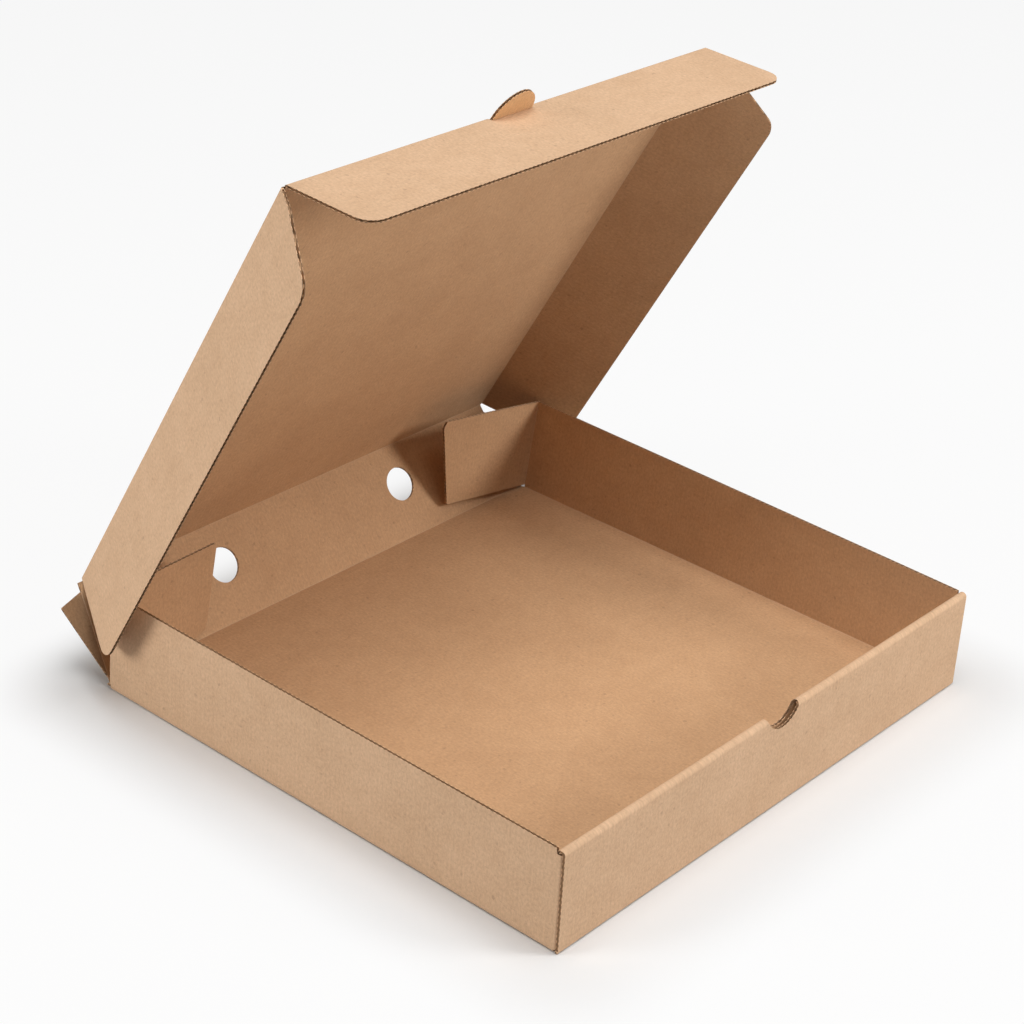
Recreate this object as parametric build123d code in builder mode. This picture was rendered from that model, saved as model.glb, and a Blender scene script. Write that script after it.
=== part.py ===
"""Corrugated pizza box, one folded blank, standing open with its flaps part folded.

X runs along the front wall, Y from the front wall to the back wall, Z up.
Origin: centre of the tray floor's underside.
"""

import os
from math import atan2, cos, degrees, radians, sin, sqrt

from build123d import *

# Board and tray
board = 1.5
tray_width = 330.0
tray_depth = 312.0
wall_height = 57.0
slit = 0.25

# Rolled front wall with its finger notch
roll_slack = 0.15
corner_flap_length = 62.0
corner_flap_drop = 3.0
notch_width = 26.0
notch_depth = 9.0

# Side walls stand plumb at the front; at the back the left leans in and the right leans out
left_lean = 2.5
right_lean = -9.0

# Rear corner flaps on the side walls
rear_fold_inset = 3.0
rear_flap_foot = 3.0
left_flap_turn = -2.5
left_flap_length = 74.5
left_flap_high = 60.0
right_flap_turn = -3.0
right_flap_length = 80.0
right_flap_base = 67.5
right_flap_high = 55.7

# Back wall, leaning back from its fold
back_lean = 33.3
back_height = 55.0
back_foot_half = 162.0
back_top_half = 157.0
vent_diameter = 20.0
vent_spacing = 140.0
vent_shift = 4.0
vent_height = 31.5

# Ears at the ends of the back wall
ear_reach = 13.0
ear_low = 3.0
ear_high = 50.0
ear_tip = 45.0
left_ear_bend = 12.0
right_ear_bend = 72.0

# Lid panel; its front edge has shifted sideways
lid_rise = 61.8
lid_width = 311.0
lid_depth = 291.0
lid_offset = 2.2
lid_skew = 10.0

# Lid flaps
side_flap_width = 54.0
front_flap_width = 52.0
flap_corner = 10.0
side_flap_rear = 1.0
side_flap_shoulder = 11.0
left_flap_front = 291.0
left_flap_slope = 10.0
right_flap_front = 290.0
right_flap_slope = 22.0
left_flap_splay = 24.5
right_flap_splay = 34.0
front_flap_splay = 25.0
front_flap_end = 1.5

# Thumb tab at the middle of the lid's front fold
tab_width = 30.0
tab_height = 17.0
tab_side = 4.2

half_width = tray_width / 2
half_depth = tray_depth / 2


def unit(vector):
    length = sqrt(sum(c * c for c in vector))
    return tuple(c / length for c in vector)


def mix(first, second, angle):
    """First direction turned toward the second by an angle in degrees."""
    a = radians(angle)
    return tuple(p * cos(a) + q * sin(a) for p, q in zip(first, second))


def shifted(point, direction, distance):
    return tuple(p + q * distance for p, q in zip(point, direction))


def cross(a, b):
    return (a[1] * b[2] - a[2] * b[1], a[2] * b[0] - a[0] * b[2], a[0] * b[1] - a[1] * b[0])


def sheet_plane(origin, along, across):
    """Plane whose local X runs along a fold and local Y away from it."""
    return Plane(origin=origin, x_dir=along, z_dir=cross(along, across))


def outline(points):
    Polygon(*points, align=None)


def section_plane(y):
    """Upright section across the box, local X to the right and local Y up."""
    return Plane(origin=(0, y, 0), x_dir=(1, 0, 0), z_dir=(0, -1, 0))


x_axis = (1.0, 0.0, 0.0)

# Planes of the back wall and the lid
back_up = mix((0, 0, 1), (0, 1, 0), back_lean)
back_inner = cross(x_axis, back_up)
back_origin = (0.0, half_depth, board)
back_plane = Plane(origin=back_origin, x_dir=x_axis, z_dir=back_inner)

lid_out = mix((0, -1, 0), (0, 0, 1), lid_rise)
lid_inner = cross(x_axis, lid_out)
lid_origin = shifted(back_origin, back_up, back_height)
lid_plane = Plane(origin=lid_origin, x_dir=x_axis, z_dir=lid_inner)

lid_left = lid_offset - lid_width / 2
lid_right = lid_offset + lid_width / 2

# ---------------------------------------------------------------- tray
roll_radius = (3 * board + 2 * roll_slack) / 2
outer_ply = -half_depth + board
flap_front = outer_ply + roll_slack
flap_back = flap_front + board
inner_ply = flap_back + roll_slack
inner_face = inner_ply + board
roll_centre = -half_depth + roll_radius
roll_low = wall_height - roll_radius
flap_top = roll_low - 0.4
twist_start = inner_face + slit
rear_fold = half_depth - rear_fold_inset
notch_radius = ((notch_width / 2) ** 2 + notch_depth**2) / (2 * notch_depth)

with BuildPart() as tray:
    # Floor
    with BuildSketch(Plane.XY):
        outline(
            [
                (-half_width, -half_depth),
                (half_width, -half_depth),
                (half_width, half_depth - slit),
                (-half_width, half_depth - slit),
            ]
        )
    extrude(amount=board)
    # Side walls: a plumb end held by the front wall, then a twist to the lean at the back
    for side, rear_lean in ((-1, left_lean), (1, right_lean)):
        centre = side * (half_width - board / 2)
        with BuildSketch(section_plane(flap_front)):
            outline(
                [
                    (centre - board / 2, 0),
                    (centre + board / 2, 0),
                    (centre + board / 2, flap_top),
                    (centre - board / 2, flap_top),
                ]
            )
        extrude(amount=-(twist_start - flap_front))
        for y, lean in ((twist_start, 0.0), (rear_fold - slit, rear_lean)):
            shift = -side * wall_height * sin(radians(lean))
            top = wall_height * cos(radians(lean))
            with BuildSketch(section_plane(y)):
                outline(
                    [
                        (centre - board / 2, 0),
                        (centre + board / 2, 0),
                        (centre + board / 2 + shift, top),
                        (centre - board / 2 + shift, top),
                    ]
                )
        loft(ruled=True)
    # Rolled front wall: outer ply with its rounded top
    with BuildSketch(Plane.YZ.offset(-half_width)):
        with BuildLine():
            Line((-half_depth, 0), (outer_ply, 0))
            Line((outer_ply, 0), (outer_ply, roll_low))
            ThreePointArc((outer_ply, roll_low), (roll_centre, wall_height - board), (inner_ply, roll_low))
            Line((inner_ply, roll_low), (inner_face, roll_low))
            ThreePointArc((inner_face, roll_low), (roll_centre, wall_height), (-half_depth, roll_low))
            Line((-half_depth, roll_low), (-half_depth, 0))
        make_face()
    extrude(amount=tray_width)
    # Inner ply, standing on the floor between the side walls
    with BuildSketch(section_plane(inner_ply)):
        with Locations((0, (board + roll_low) / 2)):
            Rectangle(tray_width - 2 * board - 2 * slit, roll_low - board)
    extrude(amount=-board)
    # Front corner flaps trapped between the two plies
    for side in (-1, 1):
        outer_x = side * half_width
        inner_x = side * (half_width - corner_flap_length)
        with BuildSketch(section_plane(flap_front)):
            outline(
                [
                    (outer_x, board),
                    (inner_x, board + corner_flap_drop),
                    (inner_x, flap_top - corner_flap_drop),
                    (outer_x, flap_top),
                ]
            )
        extrude(amount=-board)
    # Finger notch through the rolled top
    with BuildSketch(section_plane(-half_depth - 1)):
        with Locations((0, wall_height - notch_depth + notch_radius)):
            Circle(notch_radius)
    extrude(amount=-(2 * roll_radius + 2), mode=Mode.SUBTRACT)

# ---------------------------------------------------------------- rear corner flaps
left_rear_outline = [
    (slit, rear_flap_foot + 1),
    (left_flap_length - 17.5, rear_flap_foot + 2.5),
    (left_flap_length - 6.5, rear_flap_foot + 6.5),
    (left_flap_length, left_flap_high),
    (slit, wall_height),
]
right_rear_outline = [
    (slit, rear_flap_foot),
    (right_flap_base, rear_flap_foot - 1.5),
    (right_flap_length, right_flap_high - 4),
    (right_flap_length - 2, right_flap_high),
    (slit, wall_height),
]

left_up = mix((0, 0, 1), (1, 0, 0), left_lean)
left_turned = mix(mix((1, 0, 0), (0, 0, -1), left_lean), (0, -1, 0), left_flap_turn)
left_rear_plane = sheet_plane((board - half_width, rear_fold, 0), left_turned, left_up)
with BuildPart() as rear_left_flap:
    with BuildSketch(left_rear_plane):
        outline(left_rear_outline)
    extrude(amount=-board)

right_up = mix((0, 0, 1), (-1, 0, 0), right_lean)
right_turned = mix(mix((-1, 0, 0), (0, 0, -1), right_lean), (0, -1, 0), right_flap_turn)
right_rear_plane = sheet_plane((half_width - board, rear_fold, 0), right_turned, right_up)
with BuildPart() as rear_right_flap:
    with BuildSketch(right_rear_plane):
        outline(right_rear_outline)
    extrude(amount=board)

# ---------------------------------------------------------------- back wall
with BuildPart() as back_wall:
    with BuildSketch(back_plane):
        outline(
            [
                (-back_foot_half, slit),
                (back_foot_half, slit),
                (back_top_half, back_height - slit),
                (-back_top_half, back_height - slit),
            ]
        )
        for side in (-1, 1):
            with Locations((vent_shift + side * vent_spacing / 2, vent_height)):
                Circle(vent_diameter / 2, mode=Mode.SUBTRACT)
    extrude(amount=-board)

# ---------------------------------------------------------------- ears
ear_slant = degrees(atan2(back_foot_half - back_top_half, back_height))


def ear_plane(side, bend):
    """Plane of an ear, hinged on the outer face along the back wall's end."""
    foot = shifted(shifted(back_origin, x_axis, side * back_foot_half), back_inner, -board)
    rise = unit(mix(back_up, x_axis, -side * ear_slant))
    away = mix(tuple(side * c for c in x_axis), back_up, ear_slant)
    turned = mix(away, tuple(-c for c in back_inner), bend)
    return sheet_plane(foot, turned, rise)


ear_outline = [
    (slit, ear_low),
    (ear_reach, ear_tip),
    (slit, ear_high),
]

with BuildPart() as ear_left:
    with BuildSketch(ear_plane(-1, left_ear_bend)):
        outline(ear_outline)
    extrude(amount=-board)

with BuildPart() as ear_right:
    with BuildSketch(ear_plane(1, right_ear_bend)):
        outline(ear_outline)
    extrude(amount=board)

# ---------------------------------------------------------------- lid panel
tab_centre = lid_offset + lid_skew - tab_side

with BuildPart() as lid_panel:
    with BuildSketch(lid_plane):
        outline(
            [
                (lid_left + slit, slit),
                (lid_right - slit, slit),
                (lid_right + lid_skew - slit, lid_depth - slit),
                (lid_left + lid_skew + slit, lid_depth - slit),
            ]
        )
        with Locations((tab_centre, lid_depth)):
            Ellipse(tab_width / 2, tab_height, mode=Mode.SUBTRACT)
    extrude(amount=-board)

# ---------------------------------------------------------------- lid side flaps
edge_turn = degrees(atan2(lid_skew, lid_depth))
edge_along = mix(lid_out, x_axis, edge_turn)
edge_right = mix(x_axis, lid_out, -edge_turn)
edge_left = tuple(-c for c in edge_right)


def side_outline(front, slope):
    """Side flap with its front end cut back toward the free edge."""
    return [
        (side_flap_rear, slit),
        (front, slit),
        (front, side_flap_shoulder),
        (front - slope, side_flap_width),
        (side_flap_rear, side_flap_width),
    ]


left_corner = shifted(lid_origin, x_axis, lid_left)
left_away = mix(lid_inner, edge_left, left_flap_splay)
with BuildPart() as lid_left_flap:
    with BuildSketch(sheet_plane(left_corner, edge_along, left_away)) as left_sheet:
        outline(side_outline(left_flap_front, left_flap_slope))
        fillet(left_sheet.vertices().sort_by(Axis.Y)[-2:], flap_corner)
    extrude(amount=-board)

right_corner = shifted(lid_origin, x_axis, lid_right)
right_away = mix(lid_inner, edge_right, right_flap_splay)
with BuildPart() as lid_right_flap:
    with BuildSketch(sheet_plane(right_corner, edge_along, right_away)) as right_sheet:
        outline(side_outline(right_flap_front, right_flap_slope))
        fillet(right_sheet.vertices().sort_by(Axis.Y)[-2:], flap_corner)
    extrude(amount=board)

# ---------------------------------------------------------------- lid front flap and thumb tab
front_origin = shifted(lid_origin, lid_out, lid_depth)
front_away = mix(lid_inner, lid_out, front_flap_splay)
front_plane = sheet_plane(front_origin, x_axis, front_away)
front_inner = cross(x_axis, front_away)
tab_origin = shifted(shifted(front_origin, front_away, 1.2), front_inner, -board / 2)
tab_plane = Plane(origin=tab_origin, x_dir=x_axis, z_dir=lid_inner)

with BuildPart() as lid_front_flap:
    with BuildSketch(front_plane) as front_sheet:
        outline(
            [
                (lid_left + lid_skew + front_flap_end, slit),
                (lid_right + lid_skew - front_flap_end, slit),
                (lid_right + lid_skew - front_flap_end, front_flap_width),
                (lid_left + lid_skew + front_flap_end, front_flap_width),
            ]
        )
        fillet(front_sheet.vertices().sort_by(Axis.Y)[-2:], flap_corner)
    extrude(amount=-board)
    # Tab cut from the lid panel, standing on from the fold
    with BuildSketch(tab_plane):
        with Locations((tab_centre, 0)):
            Ellipse(tab_width / 2 - slit, tab_height - 1)
            Rectangle(tab_width + 2, tab_height, align=(Align.CENTER, Align.MAX), mode=Mode.SUBTRACT)
    extrude(amount=board / 2, both=True)

# ---------------------------------------------------------------- export
tray.part.label = "tray"
rear_left_flap.part.label = "rear_left_flap"
rear_right_flap.part.label = "rear_right_flap"
back_wall.part.label = "back_wall"
ear_left.part.label = "ear_left"
ear_right.part.label = "ear_right"
lid_panel.part.label = "lid_panel"
lid_left_flap.part.label = "lid_left_flap"
lid_right_flap.part.label = "lid_right_flap"
lid_front_flap.part.label = "lid_front_flap"

os.makedirs("parts", exist_ok=True)
export_step(tray.part, "parts/tray.step")
export_step(rear_left_flap.part, "parts/rear_left_flap.step")
export_step(rear_right_flap.part, "parts/rear_right_flap.step")
export_step(back_wall.part, "parts/back_wall.step")
export_step(ear_left.part, "parts/ear_left.step")
export_step(ear_right.part, "parts/ear_right.step")
export_step(lid_panel.part, "parts/lid_panel.step")
export_step(lid_left_flap.part, "parts/lid_left_flap.step")
export_step(lid_right_flap.part, "parts/lid_right_flap.step")
export_step(lid_front_flap.part, "parts/lid_front_flap.step")
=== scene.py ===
"""Looks of the open kraft pizza box: fluted board sheets, rounded folds, kraft paper, studio."""

import math

import bpy
import numpy as np
from mathutils import Matrix, Vector
from mathutils.geometry import delaunay_2d_cdt


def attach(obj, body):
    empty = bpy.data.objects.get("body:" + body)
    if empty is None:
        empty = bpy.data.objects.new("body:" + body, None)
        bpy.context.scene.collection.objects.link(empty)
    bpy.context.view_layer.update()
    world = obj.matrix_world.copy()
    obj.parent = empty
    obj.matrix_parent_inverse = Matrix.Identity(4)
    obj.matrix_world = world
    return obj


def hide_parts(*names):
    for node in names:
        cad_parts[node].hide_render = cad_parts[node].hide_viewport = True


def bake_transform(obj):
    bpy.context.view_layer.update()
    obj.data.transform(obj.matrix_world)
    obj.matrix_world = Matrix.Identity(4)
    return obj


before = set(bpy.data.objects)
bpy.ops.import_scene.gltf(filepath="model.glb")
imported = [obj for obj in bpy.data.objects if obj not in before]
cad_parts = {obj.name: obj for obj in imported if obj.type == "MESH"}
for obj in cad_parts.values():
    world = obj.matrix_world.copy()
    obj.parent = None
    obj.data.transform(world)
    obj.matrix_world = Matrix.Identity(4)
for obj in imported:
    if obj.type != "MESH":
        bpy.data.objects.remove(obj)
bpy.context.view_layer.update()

MM = 0.001

# ------------------------------------------------------------------ sizes, mm
T = 1.5
LINER = 0.24
PITCH = 3.1
SLIT = 0.25

TRAY_W = 330.0
TRAY_D = 312.0
WALL_H = 57.0
HW = TRAY_W / 2
HD = TRAY_D / 2
LEFT_LEAN = 2.5
RIGHT_LEAN = -9.0
REAR_FOLD = HD - 3.0

ROLL_R = (3 * T + 0.3) / 2
ROLL_LOW = WALL_H - ROLL_R
PLY_OUT = -HD + T
FLAP_FRONT = PLY_OUT + 0.15
FLAP_BACK = FLAP_FRONT + T
PLY_IN = FLAP_BACK + 0.15
NOTCH_W = 26.0
NOTCH_D = 9.0

BACK_LEAN = 33.3
BACK_H = 55.0
BACK_FOOT = 162.0
BACK_TOP = 157.0
VENT_R = 10.0
VENTS = (-66.0, 74.0)
VENT_Y = 31.5

LID_RISE = 61.8
LID_W = 311.0
LID_D = 291.0
LID_X = 2.2
LID_SKEW = 10.0
TAB_X = LID_X + LID_SKEW - 4.2

SIDE_FLAP = 54.0
FRONT_FLAP = 52.0
LEFT_SPLAY = 24.5
RIGHT_SPLAY = 34.0
FRONT_SPLAY = 25.0
FLAP_CORNER = 10
SIDE_FLAP_REAR = 1
SIDE_FLAP_SHOULDER = 11
LEFT_FLAP_END = (291, 10)
RIGHT_FLAP_END = (290, 22)
EAR_REACH = 13.0
LEFT_EAR_BEND = 12.0
RIGHT_EAR_BEND = 72.0


# ------------------------------------------------------------------ vector helpers
def vec(*c):
    return np.array(c, float)


def unit(v):
    return v / np.linalg.norm(v)


def mix(a, b, degrees):
    r = math.radians(degrees)
    return a * math.cos(r) + b * math.sin(r)


X = vec(1, 0, 0)
Y = vec(0, 1, 0)
Z = vec(0, 0, 1)


class Frame:
    """A sheet's place: origin on its inner face, U and V in the sheet, N from inner to outer face."""

    def __init__(self, origin, u, v, n):
        self.o, self.u, self.v, self.n = origin, u, v, n

    def __call__(self, u, v, n):
        return self.o + np.outer(u, self.u) + np.outer(v, self.v) + np.outer(n, self.n)


# ------------------------------------------------------------------ outlines
def rounded(points, radii, steps=7):
    """Polygon with its corners rounded; one radius for each corner."""
    out = []
    count = len(points)
    for i, p in enumerate(points):
        p = np.array(p, float)
        r = radii[i]
        if r <= 0:
            out.append(tuple(p))
            continue
        a = unit(np.array(points[i - 1], float) - p)
        b = unit(np.array(points[(i + 1) % count], float) - p)
        half = math.acos(max(-1, min(1, float(a @ b)))) / 2
        reach = r / math.tan(half)
        centre = p + unit(a + b) * r / math.sin(half)
        start = p + a * reach - centre
        end = p + b * reach - centre
        sweep = math.pi - 2 * half
        for k in range(steps + 1):
            t = k / steps
            q = (math.sin((1 - t) * sweep) * start + math.sin(t * sweep) * end) / math.sin(sweep)
            out.append(tuple(centre + q))
    return out


def circle(x, y, r, steps=40):
    turns = [2 * math.pi * k / steps for k in range(steps)]
    return [(x + r * math.cos(a), y + r * math.sin(a)) for a in turns]


def refined(points, step):
    out = []
    for i, p in enumerate(points):
        q = points[(i + 1) % len(points)]
        parts = max(1, int(math.hypot(q[0] - p[0], q[1] - p[1]) / step))
        for k in range(parts):
            t = k / parts
            out.append((p[0] + (q[0] - p[0]) * t, p[1] + (q[1] - p[1]) * t))
    return out


def inside(points, u, v):
    """Which of the points u, v lie in the polygon."""
    hit = np.zeros(len(u), bool)
    for i, (x0, y0) in enumerate(points):
        x1, y1 = points[i - 1]
        if y0 == y1:
            continue
        cross = (y0 > v) != (y1 > v)
        hit ^= cross & (u < (x1 - x0) * (v - y0) / (y1 - y0) + x0)
    return hit


def flat_mesh(outline, holes, step):
    """Triangles that fill the outline round its holes, with a grid of inner points."""
    loops = [refined(outline, step)] + [refined(h, step) for h in holes]
    points, edges = [], []
    for loop in loops:
        first = len(points)
        points += loop
        edges += [(first + k, first + (k + 1) % len(loop)) for k in range(len(loop))]
    rim = np.array(points)
    lo, hi = rim.min(0), rim.max(0)
    gu, gv = np.meshgrid(np.arange(lo[0] + step / 2, hi[0], step), np.arange(lo[1] + step / 2, hi[1], step))
    gu, gv = gu.ravel(), gv.ravel()
    keep = inside(outline, gu, gv)
    for h in holes:
        keep &= ~inside(h, gu, gv)
    grid = np.stack([gu[keep], gv[keep]], 1)
    if len(grid):
        near = np.array([np.min(np.hypot(*(rim - g).T)) for g in grid])
        grid = grid[near > step * 0.35]
    points += [tuple(g) for g in grid]
    got = delaunay_2d_cdt([Vector(p) for p in points], edges, [], 0, 1e-5)
    co = np.array([tuple(v) for v in got[0]])
    tris = np.array(got[2])
    mid = co[tris].mean(1)
    keep = inside(outline, mid[:, 0], mid[:, 1])
    for h in holes:
        keep &= ~inside(h, mid[:, 0], mid[:, 1])
    return co, tris[keep]


def spans(loops, u):
    """Stretches of v inside the loops on the line at u."""
    cuts = []
    for loop in loops:
        for i, (x0, y0) in enumerate(loop):
            x1, y1 = loop[i - 1]
            if (x0 > u) != (x1 > u):
                cuts.append(y0 + (u - x0) * (y1 - y0) / (x1 - x0))
    cuts.sort()
    return [(cuts[k], cuts[k + 1]) for k in range(0, len(cuts) - 1, 2)]


class Builder:
    """Gathers vertices, faces, map coordinates and finishes for one mesh."""

    def __init__(self):
        self.co, self.uv, self.faces, self.mats, self.count = [], [], [], [], 0

    def add(self, co, uv, faces, mat):
        self.co.append(np.asarray(co, float))
        self.uv.append(np.asarray(uv, float))
        for f in faces:
            self.faces.append(tuple(int(k) + self.count for k in f))
            self.mats.append(mat)
        self.count += len(co)

    def slab(self, place, co, tris, n0, n1, faces_mat, rim_mat, seed):
        """Sheet between two depths, closed along its rim."""
        size = len(co)
        u, v = co[:, 0], co[:, 1]
        low = place(u, v, np.full(size, n0))
        high = place(u, v, np.full(size, n1))
        uv = co + seed
        self.add(low, uv, tris, faces_mat)
        self.add(high, uv, tris[:, ::-1], faces_mat)
        edge = {}
        for a, b, c in tris:
            for e in ((a, b), (b, c), (c, a)):
                edge[e] = True
        rim = [e for e in edge if (e[1], e[0]) not in edge]
        used = sorted({k for e in rim for k in e})
        at = {k: i for i, k in enumerate(used)}
        m = len(used)
        self.add(
            np.concatenate([low[used], high[used]]),
            np.concatenate([uv[used], uv[used]]),
            [(at[b], at[a], at[a] + m, at[b] + m) for a, b in rim],
            rim_mat,
        )

    def medium(self, place, loops, seed, recess=0.1):
        """Fluted middle of the board, recessed a little from every cut edge."""
        lo = min(p[0] for loop in loops for p in loop) + 0.3
        hi = max(p[0] for loop in loops for p in loop) - 0.3
        us = np.arange(lo, hi, PITCH / 8)
        swing = T / 2 - LINER - 0.08
        rows = [spans(loops, u) for u in us]
        for side in (-1, 1):
            co, faces = [], []
            before = None
            for u, row in zip(us, rows):
                n = T / 2 + swing * math.sin(2 * math.pi * u / PITCH) + side * 0.08
                here = []
                for a, b in row:
                    here.append(len(co))
                    inset = min(recess, (b - a) / 3)
                    co += [(u, a + inset, n), (u, b - inset, n)]
                if before is not None and len(before) == len(here):
                    for p, q in zip(before, here):
                        quad = (p, q, q + 1, p + 1)
                        faces.append(quad if side < 0 else (p, p + 1, q + 1, q))
                before = here
            co = np.array(co)
            u, v = co[:, 0], co[:, 1]
            self.add(place(u, v, co[:, 2]), np.stack([u, v], 1) + seed, faces, 2)

    def build(self, name, materials):
        mesh = bpy.data.meshes.new(name)
        co = np.concatenate(self.co) * MM
        mesh.from_pydata(co.tolist(), [], self.faces)
        layer = mesh.uv_layers.new(name="UVMap")
        uv = np.concatenate(self.uv) * MM
        index = np.zeros(len(mesh.loops), np.int32)
        mesh.loops.foreach_get("vertex_index", index)
        layer.data.foreach_set("uv", uv[index].astype(np.float32).ravel())
        mesh.polygons.foreach_set("material_index", np.array(self.mats, np.int32))
        for m in materials:
            mesh.materials.append(m)
        mesh.update()
        mesh.validate()
        obj = bpy.data.objects.new(name, mesh)
        bpy.context.scene.collection.objects.link(obj)
        mesh.shade_smooth()
        mesh.set_sharp_from_angle(angle=math.radians(35))
        return obj


# ------------------------------------------------------------------ materials
def nodes_of(name):
    m = bpy.data.materials.new(name)
    m.use_nodes = True
    t = m.node_tree
    t.nodes.clear()
    return m, t


def link(t, a, b):
    t.links.new(a, b)


def kraft(name, tone, dark, light, grain=1.0, dash=0.0):
    """Kraft liner: mottled brown paper with fibres, flecks and faint bands of painted shade and light along
    the flutes.
    """
    m, t = nodes_of(name)
    n = t.nodes
    out = n.new("ShaderNodeOutputMaterial")
    bsdf = n.new("ShaderNodeBsdfPrincipled")
    uv = n.new("ShaderNodeUVMap")
    uv.uv_map = "UVMap"

    def noise(scale, detail, rough, stretch=(1, 1, 1), turn=0.0):
        mapping = n.new("ShaderNodeMapping")
        mapping.inputs["Scale"].default_value = stretch
        mapping.inputs["Rotation"].default_value = (0, 0, turn)
        link(t, uv.outputs["UV"], mapping.inputs["Vector"])
        tex = n.new("ShaderNodeTexNoise")
        tex.inputs["Scale"].default_value = scale
        tex.inputs["Detail"].default_value = detail
        tex.inputs["Roughness"].default_value = rough
        link(t, mapping.outputs["Vector"], tex.inputs["Vector"])
        return tex.outputs["Fac"]

    def ramp(value, stops):
        r = n.new("ShaderNodeValToRGB")
        r.color_ramp.elements[0].position = stops[0][0]
        r.color_ramp.elements[0].color = stops[0][1]
        r.color_ramp.elements[1].position = stops[1][0]
        r.color_ramp.elements[1].color = stops[1][1]
        link(t, value, r.inputs["Fac"])
        return r.outputs["Color"]

    def blend(kind, factor, a, b):
        x = n.new("ShaderNodeMix")
        x.data_type = "RGBA"
        x.blend_type = kind
        if isinstance(factor, float):
            x.inputs["Factor"].default_value = factor
        else:
            link(t, factor, x.inputs["Factor"])
        for socket, value in ((x.inputs[6], a), (x.inputs[7], b)):
            if isinstance(value, tuple):
                socket.default_value = value
            else:
                link(t, value, socket)
        return x.outputs[2]

    grey = lambda v: (v, v, v, 1)
    mottle = ramp(noise(24, 4, 0.6), [(0.36, tone + (1,)), (0.66, dark + (1,))])
    cloud = ramp(noise(110, 5, 0.65), [(0.35, light + (1,)), (0.68, tone + (1,))])
    colour = blend("MIX", 0.5, mottle, cloud)
    grit = ramp(noise(900, 3, 0.7, (1.0, 0.55, 1)), [(0.32, grey(0.86)), (0.68, grey(1.09))])
    colour = blend("MULTIPLY", 0.78 * grain, colour, grit)
    fibre = ramp(noise(620, 2, 0.5, (0.35, 2.4, 1), 0.5), [(0.63, grey(1.0)), (0.74, grey(0.78))])
    colour = blend("MULTIPLY", 0.6 * grain, colour, fibre)
    fibre2 = ramp(noise(560, 2, 0.5, (0.3, 2.6, 1), -0.7), [(0.66, grey(1.0)), (0.76, grey(1.16))])
    colour = blend("MULTIPLY", 0.6 * grain, colour, fibre2)
    fleck = ramp(noise(300, 1, 0.4), [(0.70, grey(1.0)), (0.78, grey(0.80))])
    colour = blend("MULTIPLY", 0.7 * grain, colour, fleck)

    wave = n.new("ShaderNodeTexWave")
    wave.wave_type = "BANDS"
    wave.bands_direction = "X"
    wave.inputs["Scale"].default_value = 2 * math.pi / (PITCH * MM) / 20
    wave.inputs["Distortion"].default_value = 0.6
    wave.inputs["Detail"].default_value = 1.0
    link(t, uv.outputs["UV"], wave.inputs["Vector"])
    # painted shade and light: faint darker and lighter bands at the flute pitch stand in for the shading of
    # the liner's ridges over the flutes
    flute_painted_shade = ramp(wave.outputs["Fac"], [(0.1, grey(0.985)), (0.9, grey(1.01))])
    colour = blend("MULTIPLY", 1.0, colour, flute_painted_shade)
    if dash:
        cut = n.new("ShaderNodeTexWave")
        cut.wave_type = "BANDS"
        cut.bands_direction = "DIAGONAL"
        cut.inputs["Scale"].default_value = 2 * math.pi / (PITCH * MM) / 10
        cut.inputs["Distortion"].default_value = 1.2
        cut.inputs["Detail"].default_value = 1.0
        link(t, uv.outputs["UV"], cut.inputs["Vector"])
        dashes = ramp(cut.outputs["Fac"], [(0.35, grey(0.35)), (0.65, grey(1.5))])
        colour = blend("MULTIPLY", dash, colour, dashes)

    bump = n.new("ShaderNodeBump")
    bump.inputs["Strength"].default_value = 0.25
    bump.inputs["Distance"].default_value = 0.00025
    link(t, noise(1500, 3, 0.6), bump.inputs["Height"])
    bump2 = n.new("ShaderNodeBump")
    bump2.inputs["Strength"].default_value = 0.05
    bump2.inputs["Distance"].default_value = 0.0003
    link(t, wave.outputs["Fac"], bump2.inputs["Height"])
    link(t, bump.outputs["Normal"], bump2.inputs["Normal"])
    bump3 = n.new("ShaderNodeBump")
    bump3.inputs["Strength"].default_value = 0.35
    bump3.inputs["Distance"].default_value = 0.0015
    link(t, noise(45, 2, 0.5), bump3.inputs["Height"])
    link(t, bump2.outputs["Normal"], bump3.inputs["Normal"])

    rough = n.new("ShaderNodeMapRange")
    rough.inputs["To Min"].default_value = 0.78
    rough.inputs["To Max"].default_value = 0.88
    link(t, noise(400, 2, 0.5), rough.inputs["Value"])
    link(t, rough.outputs["Result"], bsdf.inputs["Roughness"])
    bsdf.inputs["Specular IOR Level"].default_value = 0.25
    link(t, colour, bsdf.inputs["Base Color"])
    link(t, bump3.outputs["Normal"], bsdf.inputs["Normal"])
    link(t, bsdf.outputs["BSDF"], out.inputs["Surface"])
    return m


OUTER = kraft("kraft_outer_liner", (0.575, 0.375, 0.232), (0.50, 0.318, 0.188), (0.64, 0.43, 0.275), 1.25)
# Painted shade: the inner liner is a darker, more saturated copy of the outer one, standing in for the shade
# inside the box
INNER_PAINTED_SHADE = kraft("kraft_inner_liner_painted_shade", (0.535, 0.325, 0.177), (0.455, 0.268, 0.142), (0.595, 0.368, 0.208), 1.25)
CUT = kraft("cut_liner_edge", (0.46, 0.29, 0.17), (0.36, 0.215, 0.12), (0.54, 0.35, 0.21), 1.0, 1.0)
FLUTE = kraft("fluted_medium", (0.47, 0.29, 0.16), (0.38, 0.225, 0.12), (0.55, 0.35, 0.20))
# Painted shade: the ears are tinted darker to stand in for the shade of their creasing, which is left flat
# here
EAR_PAINTED_SHADE = kraft("kraft_ear_painted_shade", (0.33, 0.195, 0.105), (0.22, 0.125, 0.065), (0.40, 0.24, 0.13), 1.3)
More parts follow.
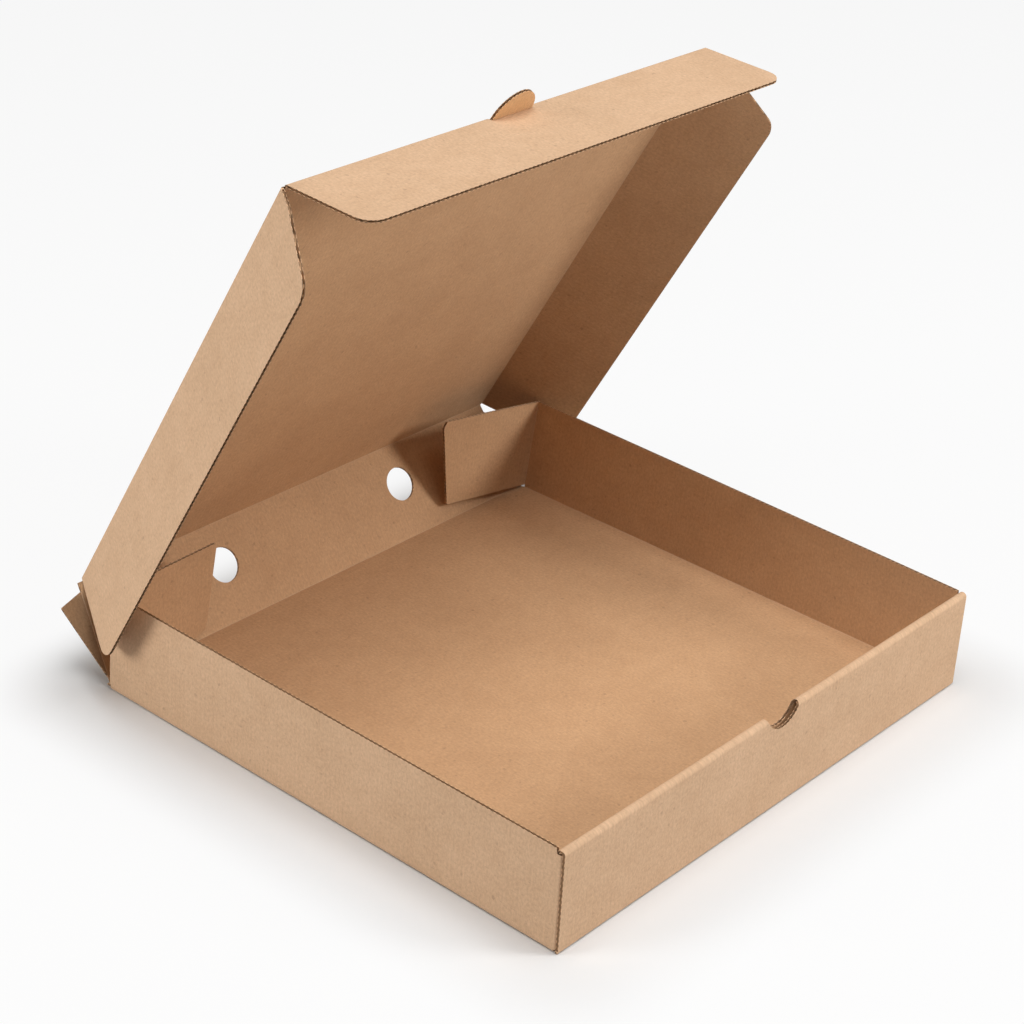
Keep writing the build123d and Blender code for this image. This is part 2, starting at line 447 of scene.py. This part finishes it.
# Painted light: the tab's inner face is tinted lighter to stand in for the light its angle catches, and that
# angle is left flat here
TAB_PAINTED_LIGHT = kraft("kraft_tab_painted_light", (0.74, 0.47, 0.25), (0.66, 0.405, 0.205), (0.80, 0.52, 0.29), 1.2)
BOARD = [OUTER, CUT, FLUTE, INNER_PAINTED_SHADE]
EAR = [EAR_PAINTED_SHADE, CUT, FLUTE, EAR_PAINTED_SHADE]
TAB = [OUTER, CUT, FLUTE, TAB_PAINTED_LIGHT]


# ------------------------------------------------------------------ pieces
def board(name, place, outline, holes=(), step=11.0, seed=0.0, finish=None):
    """One panel of fluted board: two liners with the fluted middle between them."""
    b = Builder()
    co, tris = flat_mesh(outline, holes, step)
    shift = np.array([seed * 37.0, seed * 53.0])
    b.slab(place, co, tris, 0.0, LINER, 3, 1, shift)
    b.slab(place, co, tris, T - LINER, T, 0, 1, shift + 400)
    b.medium(place, [outline] + list(holes), shift)
    return b.build(name, finish or BOARD)


def fold(name, start, end, n_a, n_b, d_a, d_b, steps=8, seed=0.0):
    """Rounded outside of a fold, from one panel's outer face to the next one's."""
    along = end - start
    length = np.linalg.norm(along)
    angle = math.acos(max(-1, min(1, float(n_a @ n_b))))
    ring = [start + d_a * SLIT, start + d_a * SLIT + n_a * T]
    for k in range(steps + 1):
        t = k / steps
        turned = math.sin((1 - t) * angle) * n_a + math.sin(t * angle) * n_b
        ring.append(start + T * turned / math.sin(angle))
    ring += [start + d_b * SLIT + n_b * T, start + d_b * SLIT]
    ring = np.array(ring)
    count = len(ring)
    cuts = max(2, int(length / 12))
    b = Builder()
    co = np.concatenate([ring + along * k / cuts for k in range(cuts + 1)])
    across = np.concatenate([[0], np.cumsum(np.linalg.norm(np.diff(ring, axis=0), axis=1))])
    uv = np.array([
        (length * k / cuts + seed * 31, across[i] + seed * 17)
        for k in range(cuts + 1)
        for i in range(count)
    ])
    faces = []
    for k in range(cuts):
        for i in range(count):
            j = (i + 1) % count
            low, high = k * count, (k + 1) * count
            faces.append((low + i, low + j, high + j, high + i))
    b.add(co, uv, faces, 0)
    last = cuts * count
    b.add(co[:count], uv[:count], [tuple(range(count))[::-1]], 1)
    b.add(co[last:], uv[last:], [tuple(range(count))], 1)
    obj = b.build(name, BOARD)
    return obj, (start + end) / 2 + n_a * T + d_a * SLIT, (start + end) / 2 + n_b * T + d_b * SLIT


def joined_fold(name, a, b, *args, **kw):
    obj, p, q = fold(name, *args, **kw)
    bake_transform(obj)
    return obj


def fixed_fold(name, body, *args, **kw):
    obj, _, _ = fold(name, *args, **kw)
    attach(obj, body)
    return obj


def panel(body, nodes, obj):
    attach(obj, body)
    if nodes:
        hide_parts(*nodes)
    return obj


# ------------------------------------------------------------------ tray
floor_frame = Frame(vec(0, 0, T), X, Y, -Z)
panel("tray", ["tray"], board(
    "tray_floor", floor_frame,
    [
        (-HW + T + SLIT, -HD + T + SLIT),
        (HW - T - SLIT, -HD + T + SLIT),
        (HW - T - SLIT, HD - SLIT),
        (-HW + T + SLIT, HD - SLIT),
    ],
    seed=1))


def side_wall(side, lean_rear):
    """Side wall, plumb at the front and twisted to its lean at the back."""
    def place(u, v, n):
        lean = np.radians(lean_rear) * np.clip((u + 151.0) / (REAR_FOLD + 151.0), 0, 1)
        up = np.stack([-side * np.sin(lean), 0 * lean, np.cos(lean)], 1)
        out = np.stack([side * np.cos(lean), 0 * lean, np.sin(lean)], 1)
        foot = np.stack([np.full(len(u), side * (HW - T)), u, 0 * u], 1)
        return foot + up * (v + T)[:, None] + out * n[:, None]

    top = WALL_H - T
    outline = [
        (FLAP_BACK + SLIT, SLIT), (REAR_FOLD - SLIT, SLIT), (REAR_FOLD - SLIT, top),
        (PLY_IN + T + 0.3, top),
        (PLY_IN + T + 0.1, ROLL_LOW - T - 0.5),
        (FLAP_BACK + SLIT, ROLL_LOW - T - 0.5),
    ]
    return place, outline


for tag, side, lean, seed in (("left", -1, LEFT_LEAN, 2), ("right", 1, RIGHT_LEAN, 3)):
    place, outline = side_wall(side, lean)
    panel("tray", [], board("tray_wall_" + tag, place, outline, seed=seed, step=9.0))
    foot = vec(side * (HW - T), 0, T)
    fixed_fold(
        "tray_fold_" + tag, "tray", foot + Y * FLAP_BACK, foot + Y * (REAR_FOLD - SLIT),
        -Z, side * X, -side * X, Z, seed=seed)
    # corner flap trapped in the front wall
    corner = vec(side * (HW - T), FLAP_BACK, T)
    flap = Frame(corner, -side * X, Z, -Y)
    high = ROLL_LOW - T - 0.5
    flap_outline = [(SLIT, 1.0), (60, 3.0), (60, high - 3), (SLIT, high)]
    panel("tray", [], board("front_corner_flap_" + tag, flap, flap_outline, seed=seed + 10))
    fixed_fold(
        "front_corner_fold_" + tag, "tray", corner, corner + Z * high,
        side * X, -Y, Y, -side * X, seed=seed + 5)

# Front wall: outer ply, rolled top and inner ply in one sheet
ARC_R = ROLL_R - T
S_UP = ROLL_LOW - T
S_OVER = S_UP + math.pi * ARC_R
S_END = S_OVER + ROLL_LOW - T
ROLL_Y = -HD + ROLL_R


def front_place(u, s, n):
    a = np.clip((s - S_UP) / ARC_R, 0, math.pi)
    y = ROLL_Y - np.cos(a) * (ARC_R + n)
    z = ROLL_LOW + np.sin(a) * (ARC_R + n)
    z = z + np.where(s < S_UP, s - S_UP, 0) - np.where(s > S_OVER, s - S_OVER, 0)
    return np.stack([u, y, z], 1)


notch_r = ((NOTCH_W / 2) ** 2 + NOTCH_D**2) / (2 * NOTCH_D)
notch_z = WALL_H - NOTCH_D + notch_r


def notch_half(z):
    return math.sqrt(max(0.0, notch_r**2 - (notch_z - z) ** 2))


right_side = []
for k in range(13):
    z = WALL_H - NOTCH_D + (ROLL_LOW - WALL_H + NOTCH_D) * (1 - math.cos(math.pi / 2 * k / 12))
    right_side.append((notch_half(z), z - T))
arc_steps = 8
for k in range(1, arc_steps):
    a = math.pi * k / arc_steps
    right_side.append((notch_half(ROLL_LOW + ROLL_R * math.sin(a)), S_UP + ARC_R * a))
right_side += [(w, S_UP + S_OVER - s) for w, s in reversed(right_side[:13])]
notch_loop = right_side + [(-w, s) for w, s in reversed(right_side[1:-1])]
inner_w = HW - T - 0.5
front_outline = [
    (-HW, SLIT), (HW, SLIT), (HW, S_OVER + 0.3), (inner_w, S_OVER + 0.4), (inner_w, S_END),
    (-inner_w, S_END), (-inner_w, S_OVER + 0.4), (-HW, S_OVER + 0.3),
]


STRETCH = 30.0


def stretched(s):
    """Sheet coordinate with the roll drawn out, so that its rows come out even."""
    return s + (np.clip(s, S_UP, S_OVER) - S_UP) * (STRETCH - 1)


def unstretched(q):
    roll = (S_OVER - S_UP) * STRETCH
    return q - (np.clip(q, S_UP, S_UP + roll) - S_UP) * (1 - 1 / STRETCH)


def front_wall():
    b = Builder()
    loops = [[(u, float(stretched(s))) for u, s in loop] for loop in (front_outline, notch_loop)]
    co, tris = flat_mesh(loops[0], [loops[1]], 7.0)
    co[:, 1] = unstretched(co[:, 1])
    shift = np.array([150.0, 222.0])
    b.slab(front_place, co, tris, 0.0, LINER, 3, 1, shift)
    b.slab(front_place, co, tris, T - LINER, T, 0, 1, shift + 400)
    for low, high in ((SLIT, S_UP), (S_UP, S_OVER), (S_OVER, S_END)):
        half = HW if high <= S_OVER else inner_w
        part = [(-half, low), (half, low), (half, high), (-half, high)]
        clip = [(w, min(max(s, low), high)) for w, s in notch_loop]
        rows = 6 if low == S_UP else 1
        for k in range(rows):
            a = low + (high - low) * k / rows
            c = low + (high - low) * (k + 1) / rows
            cell = [(w, min(max(s, a), c)) for w, s in part]
            hole = [(w, min(max(s, a), c)) for w, s in clip]
            b.medium(front_place, [cell, hole], shift, 0.1 if rows == 1 else 0.0)
    return b.build("tray_front_wall", BOARD)


panel("tray", [], front_wall())
front_foot = vec(-HW, PLY_OUT, T)
fixed_fold("tray_fold_front", "tray", front_foot, front_foot + X * TRAY_W, -Z, -Y, Y, Z, seed=7)

# ------------------------------------------------------------------ rear corner flaps
left_rear_outline = rounded(
    [(SLIT, 4.0), (57.0, 5.5), (68.0, 9.5), (74.5, 60.0), (SLIT, WALL_H)], [0, 3, 3, 1.2, 0])
right_rear_outline = rounded(
    [(SLIT, 3.0), (67.5, 1.5), (80.0, 51.7), (78.0, 55.7), (SLIT, WALL_H)], [0, 1.2, 1.2, 1.2, 0])
up_left = mix(Z, X, LEFT_LEAN)
turn_left = mix(mix(X, -Z, LEFT_LEAN), -Y, -2.5)
left_hinge = vec(T - HW, REAR_FOLD, 0)
left_n = -np.cross(turn_left, up_left)
panel("rear_left_flap", ["rear_left_flap"], board(
    "rear_left_flap_board", Frame(left_hinge, turn_left, up_left, left_n),
    left_rear_outline, seed=21, step=9.0))
up_right = mix(Z, -X, RIGHT_LEAN)
turn_right = mix(mix(-X, -Z, RIGHT_LEAN), -Y, -3.0)
right_hinge = vec(HW - T, REAR_FOLD, 0)
right_n = np.cross(turn_right, up_right)
panel("rear_right_flap", ["rear_right_flap"], board(
    "rear_right_flap_board", Frame(right_hinge, turn_right, up_right, right_n),
    right_rear_outline, seed=22, step=9.0))
joined_fold(
    "rear_left_fold", "tray", "rear_left_flap",
    left_hinge + up_left * 3, left_hinge + up_left * WALL_H,
    unit(np.cross(Y, up_left)) * -1, left_n, -Y, turn_left, seed=23)
joined_fold(
    "rear_right_fold", "tray", "rear_right_flap",
    right_hinge + up_right * 3, right_hinge + up_right * WALL_H,
    unit(np.cross(Y, up_right)), right_n, -Y, turn_right, seed=24)

# ------------------------------------------------------------------ back wall and ears
back_up = mix(Z, Y, BACK_LEAN)
back_in = np.cross(X, back_up)
back_o = vec(0, HD, T)
back_frame = Frame(back_o, X, back_up, -back_in)
panel("back_wall", ["back_wall"], board(
    "back_wall_board", back_frame,
    [(-BACK_FOOT, SLIT), (BACK_FOOT, SLIT), (BACK_TOP, BACK_H - SLIT), (-BACK_TOP, BACK_H - SLIT)],
    [circle(x, VENT_Y, VENT_R) for x in VENTS], seed=31, step=9.0))
crease_half = BACK_FOOT + 1.4
joined_fold(
    "back_wall_crease", "tray", "back_wall", back_o - X * crease_half, back_o + X * crease_half,
    -Z, -back_in, -Y, back_up, seed=32)

slant = math.degrees(math.atan2(BACK_FOOT - BACK_TOP, BACK_H))
for tag, side, bend in (("left", -1, LEFT_EAR_BEND), ("right", 1, RIGHT_EAR_BEND)):
    foot = back_o + X * side * BACK_FOOT - back_in * T
    rise = mix(back_up, X, -side * slant)
    away = mix(side * X, back_up, slant)
    turned = mix(away, -back_in, bend)
    ear_n = np.cross(turned, rise) * (-1 if side < 0 else 1)
    outline = rounded([(SLIT, 3.0), (EAR_REACH, 45.0), (SLIT, 50.0)], [0, 0.8, 0])
    ear = Frame(foot, turned, rise, ear_n)
    panel("ear_" + tag, ["ear_" + tag], board(
        "ear_%s_board" % tag, ear, outline, seed=33 + side, step=6.0, finish=EAR))
    joined_fold("ear_%s_crease" % tag, "back_wall", "ear_" + tag, foot + rise * 3, foot + rise * 50,
                back_in, ear_n, -away, turned, seed=36 + side)

# ------------------------------------------------------------------ lid
lid_out = mix(-Y, Z, LID_RISE)
lid_in = np.cross(X, lid_out)
lid_o = back_o + back_up * BACK_H
lid_frame = Frame(lid_o, X, lid_out, -lid_in)
lid_l = LID_X - LID_W / 2
lid_r = LID_X + LID_W / 2
opening = [(TAB_X + 15 * math.cos(a), LID_D - SLIT - 17 * math.sin(a)) for a in np.linspace(0, math.pi, 25)]
lid_outline = [
    (lid_l + SLIT, SLIT), (lid_r - SLIT, SLIT), (lid_r + LID_SKEW - SLIT, LID_D - SLIT),
    *opening, (lid_l + LID_SKEW + SLIT, LID_D - SLIT),
]
panel("lid", ["lid_panel"], board("lid_board", lid_frame, lid_outline, seed=41, step=12.0))
joined_fold(
    "lid_crease", "back_wall", "lid", lid_o + X * (lid_l + SLIT), lid_o + X * BACK_TOP,
    -back_in, -lid_in, -back_up, lid_out, seed=42)

edge = unit(lid_out * LID_D + X * LID_SKEW)
edge_r = unit(X * LID_D - lid_out * LID_SKEW)
for tag, side, splay, corner_x, front, slope in (
        ("left", -1, LEFT_SPLAY, lid_l, *LEFT_FLAP_END), ("right", 1, RIGHT_SPLAY, lid_r, *RIGHT_FLAP_END)):
    side_outline = rounded([
        (SIDE_FLAP_REAR, SLIT),
        (front, SLIT),
        (front, SIDE_FLAP_SHOULDER),
        (front - slope, SIDE_FLAP),
        (SIDE_FLAP_REAR, SIDE_FLAP),
    ], [0, 0, 0, FLAP_CORNER, FLAP_CORNER])
    away = mix(lid_in, side * edge_r, splay)
    n = np.cross(edge, away) * side
    corner = lid_o + X * corner_x
    panel("lid_%s_flap" % tag, ["lid_%s_flap" % tag], board(
        "lid_%s_flap_board" % tag, Frame(corner, edge, away, n), side_outline, seed=43 + side, step=11.0))
    joined_fold("lid_%s_crease" % tag, "lid", "lid_%s_flap" % tag, corner + edge * 1, corner + edge * LID_D,
                -lid_in, n, -side * edge_r, away, seed=46 + side)

front_o = lid_o + lid_out * LID_D
front_away = mix(lid_in, lid_out, FRONT_SPLAY)
front_in = np.cross(X, front_away)
x0 = lid_l + LID_SKEW + 1.5
x1 = lid_r + LID_SKEW - 1.5
panel("lid_front_flap", ["lid_front_flap"], board(
    "lid_front_flap_board", Frame(front_o, X, front_away, -front_in),
    rounded(
        [(x0, SLIT), (x1, SLIT), (x1, FRONT_FLAP), (x0, FRONT_FLAP)],
        [0, 0, FLAP_CORNER, FLAP_CORNER]), seed=51, step=11.0))
joined_fold("lid_front_crease_left", "lid", "lid_front_flap", front_o + X * x0, front_o + X * (TAB_X - 15),
            -lid_in, -front_in, -lid_out, front_away, seed=52)
joined_fold("lid_front_crease_right", "lid", "lid_front_flap", front_o + X * (TAB_X + 15), front_o + X * x1,
            -lid_in, -front_in, -lid_out, front_away, seed=53)
tab_o = front_o + front_away * 1.2 - front_in * T / 2 + lid_in * T / 2
tab_outline = [(TAB_X + 14.7 * math.cos(a), 16.0 * math.sin(a)) for a in np.linspace(0, math.pi, 25)]
panel("lid_front_flap", [], board(
    "lid_tab_board", Frame(tab_o, X, lid_out, -lid_in), tab_outline, seed=54, step=6.0, finish=TAB))


# ------------------------------------------------------------------ studio
def plane(name, size, z):
    mesh = bpy.data.meshes.new(name)
    s = size / 2
    mesh.from_pydata([(-s, -s, z), (s, -s, z), (s, s, z), (-s, s, z)], [], [(0, 1, 2, 3)])
    obj = bpy.data.objects.new(name, mesh)
    bpy.context.scene.collection.objects.link(obj)
    return obj


def seen_ray(t):
    """One for rays that show the backdrop: from the camera, off gloss or through glass."""
    path = t.nodes.new("ShaderNodeLightPath")
    value = path.outputs["Is Camera Ray"]
    for ray in ("Is Glossy Ray", "Is Transmission Ray"):
        most = t.nodes.new("ShaderNodeMath")
        most.operation = "MAXIMUM"
        link(t, value, most.inputs[0])
        link(t, path.outputs[ray], most.inputs[1])
        value = most.outputs[0]
    return value


def floor_material():
    """Pale floor whose shadow fades into the white backdrop a little way out from the box."""
    m, t = nodes_of("studio_floor")
    n = t.nodes

    def vector(kind, a, b=None):
        x = n.new("ShaderNodeVectorMath")
        x.operation = kind
        link(t, a, x.inputs[0])
        if b is not None:
            x.inputs[1].default_value = b
        return x

    coord = n.new("ShaderNodeTexCoord")
    place = vector("ABSOLUTE", coord.outputs["Object"])
    past = vector("SUBTRACT", place.outputs[0], (HW * MM, HD * MM, 1.0))
    past = vector("MAXIMUM", past.outputs[0], (0, 0, 0))
    away = vector("LENGTH", past.outputs[0])
    fade = n.new("ShaderNodeMapRange")
    fade.interpolation_type = "SMOOTHSTEP"
    fade.inputs["From Min"].default_value = 0.006
    fade.inputs["From Max"].default_value = 0.066
    fade.inputs["To Max"].default_value = 0.88
    link(t, away.outputs["Value"], fade.inputs["Value"])
    seen = n.new("ShaderNodeMath")
    seen.operation = "MULTIPLY"
    link(t, fade.outputs["Result"], seen.inputs[0])
    link(t, seen_ray(t), seen.inputs[1])

    out = n.new("ShaderNodeOutputMaterial")
    diffuse = n.new("ShaderNodeBsdfDiffuse")
    diffuse.inputs["Color"].default_value = (0.67, 0.67, 0.67, 1)
    glow = n.new("ShaderNodeEmission")
    glow.inputs["Color"].default_value = (0.995, 0.995, 0.995, 1)
    mix_shader = n.new("ShaderNodeMixShader")
    link(t, seen.outputs[0], mix_shader.inputs[0])
    link(t, diffuse.outputs[0], mix_shader.inputs[1])
    link(t, glow.outputs[0], mix_shader.inputs[2])
    link(t, mix_shader.outputs[0], out.inputs["Surface"])
    return m


ground = plane("studio_floor", 14.0, -0.0002)
ground.data.materials.append(floor_material())

world = bpy.data.worlds.new("studio")
bpy.context.scene.world = world
world.use_nodes = True
wt = world.node_tree
wt.nodes.clear()
w_out = wt.nodes.new("ShaderNodeOutputWorld")
w_fill = wt.nodes.new("ShaderNodeBackground")
w_fill.inputs["Color"].default_value = (1.0, 1.0, 1.0, 1)
w_fill.inputs["Strength"].default_value = 0.04
w_seen = wt.nodes.new("ShaderNodeBackground")
w_seen.inputs["Color"].default_value = (0.985, 0.985, 0.985, 1)
w_seen.inputs["Strength"].default_value = 1.0
w_mix = wt.nodes.new("ShaderNodeMixShader")
wt.links.new(seen_ray(wt), w_mix.inputs[0])
wt.links.new(w_fill.outputs[0], w_mix.inputs[1])
wt.links.new(w_seen.outputs[0], w_mix.inputs[2])
wt.links.new(w_mix.outputs[0], w_out.inputs[0])


def area(name, at, aim, size, power, colour):
    data = bpy.data.lights.new(name, "AREA")
    data.shape = "DISK"
    data.size = size
    data.energy = power
    data.color = colour
    obj = bpy.data.objects.new(name, data)
    bpy.context.scene.collection.objects.link(obj)
    obj.location = at
    obj.rotation_mode = "QUATERNION"
    obj.rotation_quaternion = (Vector(aim) - Vector(at)).to_track_quat("-Z", "Y")
    return obj


area("front_right", (1.2, -1.7, 1.0), (0, 0, 0.08), 0.8, 30, (1.0, 0.985, 0.965))
area("overhead", (-0.1, -0.5, 2.2), (0, 0, 0), 1.8, 48, (1.0, 1.0, 1.0))
area("left_rear", (-1.6, 0.9, 0.55), (-0.1, 0, 0.1), 0.8, 19, (1.0, 0.985, 0.96))

# ------------------------------------------------------------------ camera
LENS = 87.25
AZIMUTH = -50.104
ELEVATION = 28.388
ROLL = 3.431
cam_at = vec(-872.81, -705.07, 710.48) * MM
a, e, r = math.radians(AZIMUTH), math.radians(ELEVATION), math.radians(ROLL)
back = vec(math.sin(a) * math.cos(e), -math.cos(a) * math.cos(e), math.sin(e))
right = vec(math.cos(a), math.sin(a), 0)
up = np.cross(back, right)
right, up = right * math.cos(r) + up * math.sin(r), up * math.cos(r) - right * math.sin(r)
cam_data = bpy.data.cameras.new("photo_camera")
cam_data.lens = LENS
cam_data.sensor_width = 36.0
cam_data.clip_start = 0.05
cam_data.clip_end = 60.0
camera = bpy.data.objects.new("photo_camera", cam_data)
bpy.context.scene.collection.objects.link(camera)
camera.matrix_world = Matrix([
    [right[0], up[0], back[0], cam_at[0]],
    [right[1], up[1], back[1], cam_at[1]],
    [right[2], up[2], back[2], cam_at[2]],
    [0, 0, 0, 1],
])
bpy.context.scene.camera = camera
bpy.context.scene.view_settings.view_transform = "Standard"
